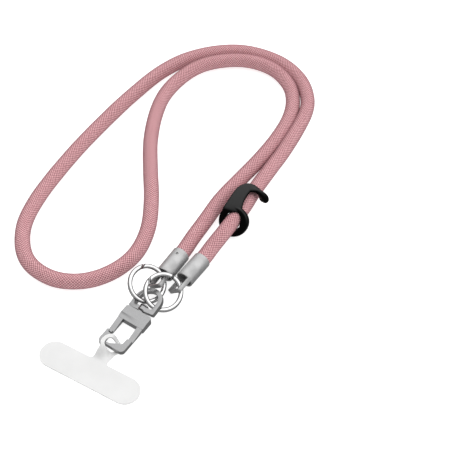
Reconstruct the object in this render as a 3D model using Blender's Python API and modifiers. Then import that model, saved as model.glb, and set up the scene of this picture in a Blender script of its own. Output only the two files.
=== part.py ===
"""Phone crossbody strap: a braided rope whose two ends run into metal caps, each cap held by
a spring-gate ring, both rings on the eye of a swivel hook, and the hook through a soft T tab.
A rubber slider rides on the rope. Lengths are in millimetres here and leave in metres."""
import math

import bpy
import numpy as np
from mathutils import Matrix, Vector

MM = 0.001

# ---- driving dimensions -------------------------------------------------------------------
GAP = 0.3                    # clearance between pieces that meet
TABLE_CENTRE = (44.745, 52.490)   # from the drawing's zero to the middle of the hardware's box

ROPE_D = 10.0
ROPE_POINTS = 76
ROPE_SIDES_RES = 3

CAP_D = 11.7
CAP_LENGTH = 19.6
CAP_WALL = 1.0
CAP_BORE_DEPTH = 6.0
CAP_LIFT = 5.9               # height of both cap axes
BAIL_REACH = 10.5            # from the cap's open end to the middle of the bail's end bar
BAIL_WIDTH = 2.8

RING_D = 25.4                # over the outside
RING_WIRE = 3.0
RING_GATE_SPAN = 80.0        # degrees of the ring that the gate takes up

EYE_WIDTH = 19.35            # swivel eye, over the outside
EYE_HEIGHT = 17.3
EYE_THICK = 3.1
EYE_BASE = 3.0               # in-plane width of its base, sides and top
EYE_SIDE = 2.9
EYE_TOP = 2.5
EYE_CORNER = 1.0
PIN_D = 2.5
PIN_HEAD_D = 6.2
PIN_HEAD_THICK = 1.4

HOOK_THICK = 3.2
HOOK_WIDTH = 18.3            # frame, over both arms
HOOK_LENGTH = 20.3           # frame, from the head to its end
HOOK_ARM = 3.7
HOOK_BAR = 4.6
HOOK_HEAD_THICK = 5.2
HOOK_HEAD_WIDTH = 18.8
HOOK_HEAD_LENGTH = 9.8
HOOK_COLLAR_D = 4.8
HOOK_COLLAR_LENGTH = 1.3
HOOK_GATE_LENGTH = 11.0      # from its axis to its tip
HOOK_GATE_OVER = 1.0         # how far the tip passes the frame's end

TABLE_GAP = 0.3              # what would touch the table stays this far above it
SLIDER_THICK = 3.0
SLIDER_EYE_BORE = 11.6
SLIDER_EYE_CHEEK = 4.6       # wall beside the rope
SLIDER_EYE_CROWN = 3.2       # above it
SLIDER_EYE_FOOT = 5.3        # and below it
SLIDER_EYE_SIDE = -0.3       # how far the eye lies to the left of the rope
SLIDER_EYE_LENGTH = 4.6
SLIDER_EYE_LEAN = 43.0       # degrees that the eye leans back along the rope
SLIDER_BAND_WIDTH = 10.5
SLIDER_SPAN = 21.6           # how far the band reaches to the right of the eye
SLIDER_REACH = 24.0          # and back over the rope
SLIDER_RISE = 16.2           # height of the band's middle above the table

TAB_LENGTH = 69.3
TAB_HEIGHT = 18.2
TAB_THICK = 0.9
TAB_LOOP_D = 12.3
TAB_LOOP_HOLE = 7.5
TAB_LOOP_REACH = 21.2        # from the middle of the bar to the middle of the loop
TAB_LOOP_SIDE = 1.7          # how far the loop leans to the bar's right
TAB_NECK = 9.5
TAB_FILLET = 2.4

# ---- sizes that follow --------------------------------------------------------------------
ROPE_R = ROPE_D / 2
CAP_R = CAP_D / 2
RING_R = (RING_D - RING_WIRE) / 2
WIRE_R = RING_WIRE / 2
PIN_R = PIN_D / 2
EYE_HOLE_R = PIN_R + GAP
EYE_BOSS_R = EYE_HOLE_R + 1.3

# ---- where things lie, on the drawing whose zero is the middle of the picture -------------
BAIL_1_AT = (-47.070, -50.190)   # middle of each bail's bar, and the way its cap looks
BAIL_2_AT = (-34.852, -53.884)
CAP_1_RUN = (-10.7, -17.3)
CAP_2_RUN = (-12.9, -18.6)
BAIL_1_TURN = 0.734
BAIL_2_TURN = 0.760

RING_1_AT = (-51.84, -50.107, 8.36)
RING_1_FACE = (0.44, -0.547, 1.0)
RING_1_HINGE = 38.0
RING_2_AT = (-41.664, -55.70, 7.377)
RING_2_FACE = (0.209, -0.579, 1.0)
RING_2_HINGE = 66.0

HOOK_ZERO = (-45.4, -48.5)   # the hook's own zero; s runs down the hook, c runs across it
HOOK_ALONG = (-0.5549, -0.8319)
HOOK_LIFT = 3.446
EYE_S, EYE_C = 21.3, 2.55    # outer face of the eye's base, on the swivel's axis
EYE_TILT = 0.122
EYE_ROLL = 0.20
HOOK_SIDE = 0.3              # how far the frame's middle lies to the axis's right

TAB_AT = (-84.0, -109.8)
TAB_UP = (0.497, 0.868)

SLIDER_AT = (3.1, 0.5, 9.25)

ROUTE = [
    (-25.3, -13.0, 5.6), (-15.8, 4.4, 5.1), (-6.4, 21.8, 5.05), (6.5, 39.7, 5.05),
    (20.2, 58.1, 5.05), (32.2, 77.1, 5.05), (41.7, 97.0, 5.05), (45.4, 113.0, 5.05),
    (43.5, 131.5, 5.1), (32.3, 148.5, 5.6), (13.4, 157.1, 6.4), (-6.0, 156.9, 6.5),
    (-22.3, 151.8, 6.0), (-36.1, 140.1, 5.3), (-47.3, 122.7, 5.05), (-52.8, 104.0, 5.05),
    (-55.6, 76.7, 5.05), (-54.4, 48.3, 5.05), (-52.6, 21.4, 5.05), (-53.9, -4.0, 5.05),
    (-61.5, -25.1, 5.05), (-76.0, -39.2, 5.05), (-93.7, -45.7, 5.05), (-112.9, -43.2, 5.05),
    (-129.9, -28.9, 5.05), (-135.5, -4.6, 5.05), (-130.4, 19.2, 5.05), (-109.7, 62.3, 5.05),
    (-83.6, 104.2, 5.05), (-68.8, 124.9, 5.05), (-51.8, 145.5, 5.05), (-33.7, 159.6, 5.05),
    (-15.0, 167.0, 5.05), (3.8, 169.2, 5.05), (20.0, 166.0, 5.05), (39.9, 154.2, 5.05),
    (52.0, 137.3, 5.05), (56.1, 119.6, 5.05), (54.8, 105.9, 5.05), (37.9, 67.6, 5.05),
    (27.1, 48.8, 5.1), (16.2, 28.7, 6.4), (9.0, 12.1, 9.05), (-3.1, -7.7, 8.9),
    (-13.0, -21.3, 6.0)]

BAND = (   # shares of span, reach, rise, width and thickness; then the way the outer face looks
    (-0.108, 0.117, 0.728, 1.28, 1.00, (0.00, -0.50, 1.00)),
    (-0.080, 0.150, 0.889, 1.22, 1.00, (0.00, -0.30, 1.00)),
    (-0.041, 0.247, 0.963, 1.14, 1.00, (0.00, -0.10, 1.00)),
    (0.015, 0.372, 1.000, 1.03, 1.00, (0.00, 0.00, 1.00)),
    (0.083, 0.525, 1.012, 0.94, 1.00, (0.00, 0.00, 1.00)),
    (0.163, 0.677, 1.012, 0.91, 1.00, (0.00, 0.00, 1.00)),
    (0.266, 0.830, 1.000, 0.88, 1.00, (0.00, 0.00, 1.00)),
    (0.398, 0.934, 0.975, 0.76, 1.00, (0.00, 0.00, 1.00)),
    (0.545, 0.944, 0.944, 0.65, 1.00, (0.10, 0.10, 1.00)),
    (0.685, 0.909, 0.883, 0.59, 1.10, (0.35, 0.45, 0.80)),
    (0.805, 0.848, 0.778, 0.63, 1.35, (0.55, 0.65, 0.45)),
    (0.888, 0.792, 0.642, 0.65, 1.60, (0.60, 0.70, 0.10)),
    (0.916, 0.762, 0.519, 0.59, 1.60, (0.60, 0.70, 0.00)),
    (0.911, 0.744, 0.444, 0.42, 1.10, (0.60, 0.70, 0.00)))

PARTS = "phone_crossbody_strap"
CUTTERS = "cutters"


# ---- small helpers ------------------------------------------------------------------------
def at(x, y, z):
    """Drawing millimetres to metres in the part's own frame."""
    return Vector(((x + TABLE_CENTRE[0]) * MM, (y + TABLE_CENTRE[1]) * MM, z * MM))


def unit(*v):
    return Vector(v).normalized()


def frame(x_dir, y_dir, origin):
    """Matrix whose first two columns follow the given directions."""
    x = Vector(x_dir).normalized()
    z = x.cross(Vector(y_dir)).normalized()
    y = z.cross(x)
    m = Matrix((x, y, z)).transposed().to_4x4()
    m.translation = origin
    return m


HOOK_A = unit(HOOK_ALONG[0], HOOK_ALONG[1], 0)
HOOK_V = unit(-HOOK_ALONG[1], HOOK_ALONG[0], 0)
UP = Vector((0, 0, 1))


def hook_point(s, c, z):
    """A place given along and across the hook."""
    flat = HOOK_A * s + HOOK_V * c
    return at(HOOK_ZERO[0] + flat.x, HOOK_ZERO[1] + flat.y, z)


HOOK_FRAME = frame(HOOK_A, HOOK_V, hook_point(0, 0, HOOK_LIFT))


def arc(x, y, r, start, steps=4):
    """Quarter circle about a place, from a given angle."""
    turns = [math.radians(start + 90.0 * k / steps) for k in range(steps + 1)]
    return [(x + r * math.cos(t), y + r * math.sin(t)) for t in turns]


def cap_mouth(bail_at, run):
    """Where the rope enters the cap whose bail ends at the given place."""
    way = unit(run[0], run[1], 0) * (CAP_LENGTH + BAIL_REACH)
    return bail_at[0] - way.x, bail_at[1] - way.y


CAP_1_END = cap_mouth(BAIL_1_AT, CAP_1_RUN)
CAP_2_END = cap_mouth(BAIL_2_AT, CAP_2_RUN)


def collection(name):
    made = bpy.data.collections.new(name)
    bpy.context.scene.collection.children.link(made)
    return made


def move_to(ob, name):
    for old in list(ob.users_collection):
        old.objects.unlink(ob)
    bpy.data.collections[name].objects.link(ob)
    return ob


def as_mesh(ob, name):
    """Turn a curve into a clean mesh object and drop the curve."""
    bpy.context.view_layer.update()
    graph = bpy.context.evaluated_depsgraph_get()
    mesh = bpy.data.meshes.new_from_object(ob.evaluated_get(graph))
    mesh.name = name
    made = bpy.data.objects.new(name, mesh)
    bpy.data.collections[PARTS].objects.link(made)
    made.matrix_world = ob.matrix_world
    bpy.data.objects.remove(ob)
    made.name = name
    bpy.context.view_layer.objects.active = made
    made.select_set(True)
    bpy.ops.object.mode_set(mode="EDIT")
    bpy.ops.mesh.select_all(action="SELECT")
    bpy.ops.mesh.remove_doubles(threshold=0.00001)
    bpy.ops.mesh.normals_make_consistent(inside=False)
    bpy.ops.object.mode_set(mode="OBJECT")
    made.select_set(False)
    return made


def tube(name, points, radius, res, cyclic=False):
    """Round tube along places given in metres."""
    curve = bpy.data.curves.new(name, "CURVE")
    curve.dimensions = "3D"
    curve.bevel_depth = radius * MM
    curve.bevel_resolution = res
    curve.use_fill_caps = not cyclic
    line = curve.splines.new("POLY")
    line.points.add(len(points) - 1)
    for spot, p in zip(line.points, points):
        spot.co = (p[0], p[1], p[2], 1.0)
    line.use_cyclic_u = cyclic
    ob = bpy.data.objects.new(name, curve)
    bpy.data.collections[PARTS].objects.link(ob)
    return ob


def plate(name, outlines, thick, matrix):
    """Flat plate from outlines in millimetres, centred on its own plane."""
    curve = bpy.data.curves.new(name, "CURVE")
    curve.dimensions = "2D"
    curve.fill_mode = "BOTH"
    curve.extrude = thick * MM / 2
    for outline in outlines:
        line = curve.splines.new("POLY")
        line.points.add(len(outline) - 1)
        for spot, p in zip(line.points, outline):
            spot.co = (p[0] * MM, p[1] * MM, 0.0, 1.0)
        line.use_cyclic_u = True
    ob = bpy.data.objects.new(name, curve)
    bpy.data.collections[PARTS].objects.link(ob)
    ob.matrix_world = matrix
    return as_mesh(ob, name)


def mesh_object(name, verts, faces):
    mesh = bpy.data.meshes.new(name)
    mesh.from_pydata(verts, [], faces)
    ob = bpy.data.objects.new(name, mesh)
    bpy.data.collections[PARTS].objects.link(ob)
    bpy.context.view_layer.objects.active = ob
    ob.select_set(True)
    bpy.ops.object.mode_set(mode="EDIT")
    bpy.ops.mesh.select_all(action="SELECT")
    bpy.ops.mesh.normals_make_consistent(inside=False)
    bpy.ops.object.mode_set(mode="OBJECT")
    ob.select_set(False)
    return ob


def cylinder(name, radius, depth, sides, matrix):
    """Cylinder along the matrix's third column, starting at its origin."""
    bpy.ops.mesh.primitive_cylinder_add(vertices=sides, radius=radius * MM, depth=depth * MM)
    ob = bpy.context.active_object
    ob.name = name
    ob.data.transform(Matrix.Translation((0, 0, depth * MM / 2)))
    ob.matrix_world = matrix
    ob.select_set(False)
    return move_to(ob, PARTS)


def block(name, lo, hi, matrix):
    """Box between two corners in millimetres in the matrix's own axes."""
    bpy.ops.mesh.primitive_cube_add(size=1.0)
    ob = bpy.context.active_object
    ob.name = name
    size = [(b - a) * MM for a, b in zip(lo, hi)]
    mid = [(a + b) * MM / 2 for a, b in zip(lo, hi)]
    ob.data.transform(Matrix.Translation(mid) @ Matrix.Diagonal((*size, 1.0)))
    ob.matrix_world = matrix
    ob.select_set(False)
    return move_to(ob, PARTS)


def combine(ob, tool, how):
    """Exact Boolean whose tool piece is kept among the cutters."""
    mod = ob.modifiers.new(how.lower(), "BOOLEAN")
    mod.operation = how
    mod.solver = "EXACT"
    mod.object = tool
    tool.hide_render = True
    tool.display_type = "WIRE"
    move_to(tool, CUTTERS)
    return ob


def bevel(ob, width, angle=40.0, segments=1):
    mod = ob.modifiers.new("bevel", "BEVEL")
    mod.width = width * MM
    mod.segments = segments
    mod.limit_method = "ANGLE"
    mod.angle_limit = math.radians(angle)
    return ob


def material(name, colour, roughness, metallic):
    mat = bpy.data.materials.new(name)
    mat.use_nodes = True
    shader = mat.node_tree.nodes["Principled BSDF"]
    shader.inputs["Base Color"].default_value = (*colour, 1.0)
    shader.inputs["Roughness"].default_value = roughness
    shader.inputs["Metallic"].default_value = metallic
    return mat


def paint(ob, mat):
    ob.data.materials.clear()
    ob.data.materials.append(mat)
    return ob


def origin_to(ob, place):
    """Put the object's own origin on a joint's axis and leave the shape where it is."""
    bpy.context.view_layer.update()
    shift = ob.matrix_world.inverted() @ place
    ob.data.transform(Matrix.Translation(-shift))
    ob.matrix_world = ob.matrix_world @ Matrix.Translation(shift)
    return ob


def smooth_step(x):
    x = min(1.0, max(0.0, x))
    return x * x * (3 - 2 * x)


# ---- rope ---------------------------------------------------------------------------------
def rope_line():
    """Evenly spaced places along a smooth line through the route and both cap mouths."""
    ends = []
    for end, run in ((CAP_1_END, CAP_1_RUN), (CAP_2_END, CAP_2_RUN)):
        back = -unit(run[0], run[1], 0)
        ends.append([np.array((end[0] + back.x * d, end[1] + back.y * d, CAP_LIFT))
                     for d in (GAP, GAP + 4.0)])
    route = np.array(ends[0] + [np.array(p) for p in ROUTE] + ends[1][::-1])
    pad = np.vstack([2 * route[0] - route[1], route, 2 * route[-1] - route[-2]])
    fine = []
    for i in range(1, len(pad) - 2):
        a, b, c, d = pad[i - 1:i + 3]
        ka = max(np.linalg.norm(b - a), 1e-6) ** 0.5
        kb = max(np.linalg.norm(c - b), 1e-6) ** 0.5
        kc = max(np.linalg.norm(d - c), 1e-6) ** 0.5
        m1 = (b - a) / ka - (c - a) / (ka + kb) + (c - b) / kb
        m2 = (c - b) / kb - (d - b) / (kb + kc) + (d - c) / kc
        for t in np.linspace(0, 1, 40, endpoint=False):
            h = (2 * t ** 3 - 3 * t ** 2 + 1, t ** 3 - 2 * t ** 2 + t,
                 -2 * t ** 3 + 3 * t ** 2, t ** 3 - t ** 2)
            fine.append(h[0] * b + h[1] * m1 * kb + h[2] * c + h[3] * m2 * kb)
    fine.append(route[-1])
    fine = np.array(fine)
    run = np.r_[0.0, np.cumsum(np.linalg.norm(np.diff(fine, axis=0), axis=1))]
    marks = np.r_[0.0, 4.0, np.linspace(13.0, run[-1] - 13.0, ROPE_POINTS - 4),
                  run[-1] - 4.0, run[-1]]
    return [at(*[float(np.interp(m, run, fine[:, k])) for k in range(3)]) for m in marks]


def make_rope(mat):
    rope = tube("rope", rope_line(), ROPE_R, ROPE_SIDES_RES)
    return paint(rope, mat)


# ---- caps ---------------------------------------------------------------------------------
def cap_frame(end, run):
    """First column down the cap, second column level and to the right."""
    along = unit(run[0], run[1], 0)
    side = unit(-run[1], run[0], 0)
    return frame(along, side, at(end[0], end[1], CAP_LIFT))


def make_cap(name, end, run, turn, mat):
    base = cap_frame(end, run)
    down = base @ Matrix.Rotation(math.pi / 2, 4, "Y")
    cap = cylinder(name, CAP_R, CAP_LENGTH, 24, down)
    lean = base @ Matrix.Rotation(turn, 4, "X")
    bail = make_bail(name + "_bail", lean)
    combine(cap, bail, "UNION")
    bore_at = down @ Matrix.Translation((0, 0, (CAP_LENGTH - CAP_BORE_DEPTH) * MM))
    bore = cylinder(name + "_bore", CAP_R - CAP_WALL, CAP_BORE_DEPTH + 1.0, 24, bore_at)
    combine(cap, bore, "DIFFERENCE")
    return paint(cap, mat)


def make_bail(name, matrix):
    """Two prongs that carry on the cap's wall, joined by a bar."""
    far = CAP_LENGTH + BAIL_REACH + CAP_WALL / 2
    near = CAP_LENGTH - 1.5
    outer, inner = CAP_R - 0.03, CAP_R - CAP_WALL + 0.02
    outline = [(near, -outer), (far - 1.2, -outer), (far, -outer + 1.2), (far, outer - 1.2),
               (far - 1.2, outer), (near, outer), (near, inner), (far - CAP_WALL - 0.6, inner),
               (far - CAP_WALL, inner - 0.6), (far - CAP_WALL, -inner + 0.6),
               (far - CAP_WALL - 0.6, -inner), (near, -inner)]
    return plate(name, [outline], BAIL_WIDTH, matrix)


# ---- rings --------------------------------------------------------------------------------
def ring_frame(centre, face):
    """Ring plane with its first column level and to the right."""
    normal = unit(*face)
    right = Vector((0, 1, 0)).cross(normal).normalized()
    return frame(right, normal.cross(right), at(*centre))


def gate_sector(name, matrix, hinge, spread, start):
    """Half disc about the hinge, which holds the gate's share of the ring."""
    a = math.radians(hinge)
    inner = RING_R - WIRE_R
    pivot = Vector((math.cos(a), math.sin(a))) * inner
    out = Vector((math.cos(a), math.sin(a)))
    along = Vector((-math.sin(a), math.cos(a)))
    tip = Vector((math.cos(a + math.radians(RING_GATE_SPAN)),
                  math.sin(a + math.radians(RING_GATE_SPAN)))) * RING_R
    reach = (tip - pivot).length + spread
    first = pivot + along * start
    outline = [tuple(first + out * reach)]
    for k in range(0, 25):
        t = math.radians(90.0 - 180.0 * k / 24)
        spot = pivot + out * math.sin(t) * reach + along * math.cos(t) * reach
        if (spot - first).dot(along) > 0.4:
            outline.append(tuple(spot))
    outline.append(tuple(first - out * reach))
    return plate(name, [outline], RING_WIRE * 2, matrix)


def torus(name, matrix, sides=34, round_sides=10):
    bpy.ops.mesh.primitive_torus_add(major_radius=RING_R * MM, minor_radius=WIRE_R * MM,
                                     major_segments=sides, minor_segments=round_sides)
    ob = bpy.context.active_object
    ob.name = name
    ob.matrix_world = matrix
    ob.select_set(False)
    return move_to(ob, PARTS)


def make_ring(name, centre, face, hinge, mats):
    base = ring_frame(centre, face)
    ring = torus(name, base)
    cut = gate_sector(name + "_gate_room", base, hinge, GAP, -GAP)
    combine(ring, cut, "DIFFERENCE")
    gate = torus(name + "_gate", base)
    keep = gate_sector(name + "_gate_share", base, hinge, 0.0, 0.0)
    combine(gate, keep, "INTERSECT")
    a = math.radians(hinge)
    inner = (RING_R - WIRE_R) * MM
    pivot = base @ Vector((inner * math.cos(a), inner * math.sin(a), 0))
    paint(ring, mats[0])
    paint(gate, mats[1])
    origin_to(gate, pivot)
    return ring, gate


# ---- swivel eye, pin and hook -------------------------------------------------------------
def eye_outline(width, low, high, corner):
    """Flat base with small corners, straight arms and a round top."""
    r = width / 2
    low_right = arc(r - corner, low + corner, corner, -90, 2)
    low_left = arc(corner - r, low + corner, corner, 180, 2)
    top = [(r * math.cos(math.radians(d)), high - r + r * math.sin(math.radians(d)))
           for d in np.linspace(0, 180, 19)]
    return low_right + top + low_left


def make_swivel_eye(mat):
    side = HOOK_V * math.cos(EYE_ROLL) + UP * math.sin(EYE_ROLL)
    rise = -HOOK_A * math.cos(EYE_TILT) + side.cross(-HOOK_A) * math.sin(EYE_TILT)
    base = frame(side, rise, hook_point(EYE_S, EYE_C, HOOK_LIFT))
    eye = plate("swivel_eye", [
        eye_outline(EYE_WIDTH, 0.0, EYE_HEIGHT, EYE_CORNER),
        eye_outline(EYE_WIDTH - 2 * EYE_SIDE, EYE_BASE, EYE_HEIGHT - EYE_TOP, EYE_CORNER)],
        EYE_THICK, base)
    bevel(eye, EYE_THICK * 0.2)
    axis = HOOK_FRAME @ Matrix.Translation(((EYE_S - EYE_BASE) * MM, EYE_C * MM, 0))
    axis = axis @ Matrix.Rotation(math.pi / 2, 4, "Y")
    boss = cylinder("swivel_boss", EYE_BOSS_R, EYE_BASE, 20, axis)
    combine(eye, boss, "UNION")
    hole = cylinder("swivel_hole", EYE_HOLE_R, EYE_BASE + 2.0, 16,
                    axis @ Matrix.Translation((0, 0, -1.0 * MM)))
    combine(eye, hole, "DIFFERENCE")
    return paint(eye, mat)


def make_pin(mat):
    """Rivet whose wide head sits inside the eye."""
    head_end = EYE_S - EYE_BASE - GAP
    axis = HOOK_FRAME @ Matrix.Translation(((head_end - PIN_HEAD_THICK) * MM, EYE_C * MM, 0))
    axis = axis @ Matrix.Rotation(math.pi / 2, 4, "Y")
    head = cylinder("swivel_pin", PIN_HEAD_D / 2, PIN_HEAD_THICK, 24, axis)
    bevel(head, PIN_HEAD_THICK * 0.3)
    shaft = cylinder("pin_shaft", PIN_R, EYE_BASE + 2 * GAP + PIN_HEAD_THICK / 2, 16,
                     axis @ Matrix.Translation((0, 0, PIN_HEAD_THICK / 2 * MM)))
    combine(head, shaft, "UNION")
    origin_to(head, SWIVEL_AT)
    return paint(head, mat)


SWIVEL_AT = hook_point(EYE_S - EYE_BASE / 2, EYE_C, HOOK_LIFT)
COLLAR_S = EYE_S + 2 * GAP
HEAD_S0 = COLLAR_S + HOOK_COLLAR_LENGTH - GAP
HEAD_S1 = HEAD_S0 + HOOK_HEAD_LENGTH
FRAME_END = HEAD_S1 + HOOK_LENGTH
MIDDLE_C = EYE_C + HOOK_SIDE
FRAME_C0, FRAME_C1 = MIDDLE_C - HOOK_WIDTH / 2, MIDDLE_C + HOOK_WIDTH / 2
OPEN_S1 = FRAME_END - HOOK_BAR
OPEN_C0, OPEN_C1 = FRAME_C0 + HOOK_ARM, FRAME_C1 - HOOK_ARM
GATE_S = FRAME_END + HOOK_GATE_OVER - HOOK_GATE_LENGTH   # the gate's axis, along the hook

SEAM = ((0.0, 0.0), (0.1, 0.3), (0.5, 0.5), (0.57, 1.0))   # shares of the arm's width
GATE_EDGE = (                # shares of the gate's length and of the arm's width
    (0.15, -0.07), (0.70, -0.09), (0.86, 0.06), (0.96, 0.35), (1.0, 0.72), (0.90, 0.86),
    (0.75, 1.0))
NOSE = ((0.17, 0.70), (0.62, 0.38), (0.74, 0.13), (0.78, 0.0))   # of the bar and the opening


def seam(shift):
    """The joint between arm and gate, from the arm's outer edge to its inner edge."""
    return [(GATE_S + shift + a * HOOK_ARM, FRAME_C0 + b * HOOK_ARM) for a, b in SEAM]


def frame_outline():
    """Left arm down to the gate, then the other arm with the bar and its nose."""
    corner, inner = HOOK_BAR * 0.56, HOOK_BAR * 0.4
    start = HEAD_S1 - HOOK_HEAD_LENGTH * 0.15
    pts = [(start, FRAME_C0)] + seam(-2 * GAP)
    pts += [(HEAD_S1 - GAP, OPEN_C0), (HEAD_S1 - GAP, OPEN_C1)]
    pts += arc(OPEN_S1 - inner, OPEN_C1 - inner, inner, 0)[::-1]
    pts += [(OPEN_S1 + a * HOOK_BAR, OPEN_C0 + b * (OPEN_C1 - OPEN_C0)) for a, b in NOSE]
    pts += [(FRAME_END, OPEN_C0)]
    pts += arc(FRAME_END - corner, FRAME_C1 - corner, corner, 0)
    return pts + [(start, FRAME_C1)]


def gate_outline():
    edge = [(GATE_S + a * HOOK_GATE_LENGTH, FRAME_C0 + b * HOOK_ARM) for a, b in GATE_EDGE]
    return seam(0.0) + edge[::-1]


def head_outline():
    """Rectangle with large corners toward the eye."""
    big, small, half = HOOK_HEAD_LENGTH * 0.17, HOOK_HEAD_LENGTH * 0.06, HOOK_HEAD_WIDTH / 2
    lo, hi = MIDDLE_C - half, MIDDLE_C + half
    return (arc(HEAD_S1 - small, lo + small, small, -90, 2)
            + arc(HEAD_S1 - small, hi - small, small, 0, 2)
            + arc(HEAD_S0 + big, hi - big, big, 90) + arc(HEAD_S0 + big, lo + big, big, 180))


def make_hook(mat):
    body = plate("hook_body", [frame_outline()], HOOK_THICK, HOOK_FRAME)
    bevel(body, HOOK_THICK * 0.14)
    head = plate("hook_head", [head_outline()], HOOK_HEAD_THICK, HOOK_FRAME)
    bevel(head, HOOK_HEAD_THICK * 0.18)
    combine(body, head, "UNION")
    axis = HOOK_FRAME @ Matrix.Translation((COLLAR_S * MM, EYE_C * MM, 0))
    collar = cylinder("hook_collar", HOOK_COLLAR_D / 2, HOOK_COLLAR_LENGTH + GAP, 20,
                      axis @ Matrix.Rotation(math.pi / 2, 4, "Y"))
    combine(body, collar, "UNION")
    origin_to(body, SWIVEL_AT)
    return paint(body, mat)


def make_hook_gate(mat):
    gate = plate("hook_gate", [gate_outline()], HOOK_THICK - 0.4, HOOK_FRAME)
    bevel(gate, HOOK_THICK * 0.12)
    origin_to(gate, hook_point(GATE_S, FRAME_C0, HOOK_LIFT))
    return paint(gate, mat)


# ---- slider -------------------------------------------------------------------------------
def band_section(width, thick):
    """Rounded strip section, outer face along the second axis."""
    w, t = width / 2, thick / 2
    return [(-w, -t * 0.4), (-w + t * 0.7, -t), (w - t * 0.7, -t), (w, -t * 0.4),
            (w, t * 0.4), (w - t * 0.7, t), (0.0, t * 1.25), (-w + t * 0.7, t), (-w, t * 0.4)]


def make_band(name):
    places = [Vector((SLIDER_AT[0] + x * SLIDER_SPAN, SLIDER_AT[1] + y * SLIDER_REACH,
                      z * SLIDER_RISE)) for x, y, z, _, _, _ in BAND]
    verts, faces = [], []
    for i, (_, _, _, width, thick, face) in enumerate(BAND):
        ahead = places[min(i + 1, len(places) - 1)]
        behind = places[max(i - 1, 0)]
        along = (ahead - behind).normalized()
        out = Vector(face)
        out = (out - along * out.dot(along)).normalized()
        across = along.cross(out)
        for x, y in band_section(width * SLIDER_BAND_WIDTH, thick * SLIDER_THICK):
            p = places[i] + across * x + out * y
            verts.append(at(*p))
    n = len(band_section(1.0, 1.0))
    for i in range(len(BAND) - 1):
        for k in range(n):
            a, b = i * n + k, i * n + (k + 1) % n
            faces.append((a, b, b + n, a + n))
    faces.append(tuple(range(n))[::-1])
    faces.append(tuple(range((len(BAND) - 1) * n, len(BAND) * n)))
    return mesh_object(name, verts, faces)


def on_rope(place):
    """Nearest place on the rope's line and the line's way there, toward the upper right."""
    line = rope_line()
    best = None
    for a, b in zip(line, line[1:]):
        run = b - a
        t = min(1.0, max(0.0, (place - a).dot(run) / run.length_squared))
        spot = a + run * t
        if best is None or (spot - place).length < (best[0] - place).length:
            best = (spot, -run.normalized())
    return best


def make_eye_blank(name):
    """Oval disc with rounded rims, before the rope's bore."""
    half, soft = SLIDER_EYE_LENGTH / 2, SLIDER_EYE_LENGTH * 0.2
    radius = SLIDER_EYE_BORE / 2
    count = 32
    verts = []
    for inset, z in ((soft, -half), (0, soft - half), (0, half - soft), (soft, half)):
        for a in np.linspace(0, 2 * math.pi, count, endpoint=False):
            tall = radius + (SLIDER_EYE_CROWN if math.sin(a) > 0 else SLIDER_EYE_FOOT)
            wide = radius + SLIDER_EYE_CHEEK
            verts.append(Vector((SLIDER_EYE_SIDE + (wide - inset) * math.cos(a),
                                 (tall - inset) * math.sin(a), z)) * MM)
    faces = [(i * count + k, i * count + (k + 1) % count, (i + 1) * count + (k + 1) % count,
              (i + 1) * count + k) for i in range(3) for k in range(count)]
    faces += [tuple(range(count)), tuple(range(3 * count, 4 * count))]
    return mesh_object(name, verts, faces)


def make_slider(mat):
    """Closed eye that leans back on the rope, with a band that arches on over it."""
    near, along = on_rope(at(*SLIDER_AT))
    lean = math.radians(SLIDER_EYE_LEAN)
    left = unit(-along.y, along.x, 0)
    axis = along * math.cos(lean) - UP * math.sin(lean)
    eye = make_eye_blank("slider")
    eye.matrix_world = frame(left, axis.cross(left), near)
    combine(eye, make_band("slider_band"), "UNION")
    reach = (SLIDER_EYE_LENGTH + SLIDER_EYE_BORE * math.sin(lean)) / 2 / math.cos(lean) + 1.0
    start = frame(left, along.cross(left), near - along * reach * MM)
    bore = cylinder("slider_bore", SLIDER_EYE_BORE / 2, 2 * reach, 32, start)
    combine(eye, bore, "DIFFERENCE")
    table = frame((1, 0, 0), (0, 1, 0), (near.x, near.y, TABLE_GAP * MM))
    combine(eye, block("slider_foot", (-30, -30, -20), (30, 30, 0), table), "DIFFERENCE")
    return paint(eye, mat)


# ---- soft tab -----------------------------------------------------------------------------
LOOP_HIGH = HOOK_LIFT + HOOK_THICK / 2 + 0.4 + TAB_THICK / 2
LOOP_LOW = TAB_THICK / 2 + 0.1
LOOP_START = TAB_HEIGHT / 2


def tab_lines():
    """Places of the sheet's columns and rows, closest round the loop."""
    half, tall, reach = TAB_LENGTH / 2 + 1.0, TAB_HEIGHT / 2 + 1.0, TAB_LOOP_D / 2 + 1.0
    us = list(np.linspace(-reach, reach, 18) + TAB_LOOP_SIDE)
    us = list(np.linspace(-half, us[0], 4)[:-1]) + us + list(np.linspace(us[-1], half, 4)[1:])
    vs = list(np.linspace(LOOP_START - 1.0, TAB_LOOP_REACH + reach, 19))
    return us, list(np.linspace(-tall, vs[0], 4)[:-1]) + vs


def tab_height(u, v):
    """The loop climbs over the hook on its left and goes under it on its right."""
    flat = TAB_THICK / 2
    climb = smooth_step((v - LOOP_START) / (TAB_LOOP_REACH - TAB_LOOP_HOLE * 0.3 - LOOP_START))
    left = flat + (LOOP_HIGH - flat) * climb
    right = flat + (LOOP_LOW - flat) * climb
    spread = TAB_LOOP_HOLE * 0.3
    wide = spread + 1.6 * (1 - climb)
    return left + (right - left) * smooth_step((u - TAB_LOOP_SIDE + wide) / (2 * wide))


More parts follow.
